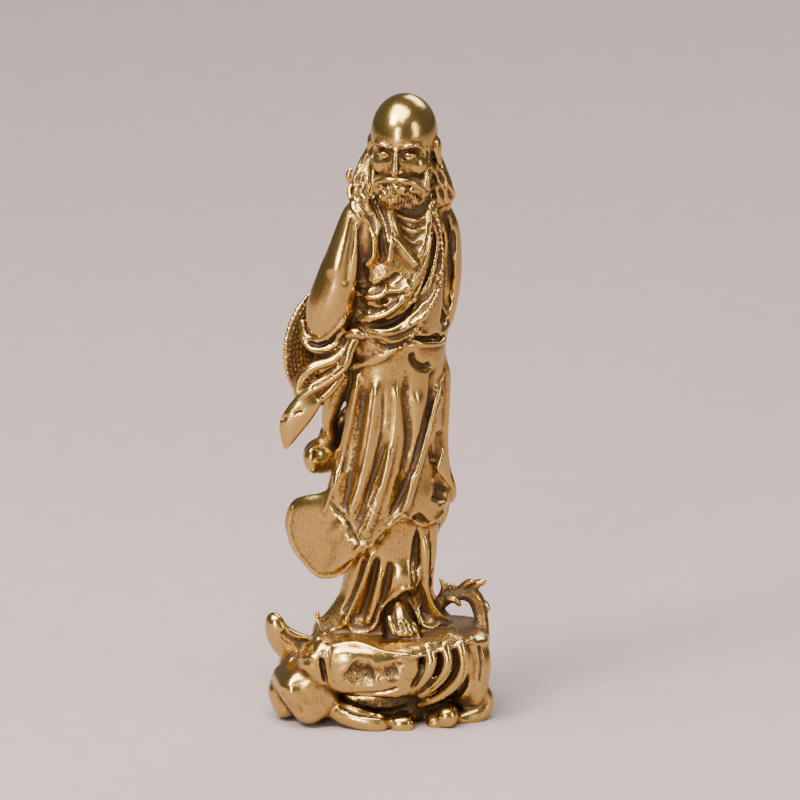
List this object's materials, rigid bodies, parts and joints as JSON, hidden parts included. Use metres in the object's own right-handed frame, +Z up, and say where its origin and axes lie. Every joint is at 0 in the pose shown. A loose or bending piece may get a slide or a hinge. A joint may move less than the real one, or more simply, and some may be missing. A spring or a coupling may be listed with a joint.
{
  "type": "robed monk statuette",
  "caption": "Small cast brass statuette of a bald, bearded monk in a long robe, standing on a rock, with prayer beads, a gourd and a straw hat",
  "frame": {"origin": "centre of the flat underside of the rock, on the ground", "axes": "+Z up through the crown, -Y toward the front, +X to the viewer's right"},
  "size_m": [0.0344, 0.023, 0.0966],
  "materials": {
    "brass": "cast, polished on the high places, dark brown patina in the hollows"
  },
  "bodies": {
    "root": {"statuette": "brass"}
  },
  "joints": []
}
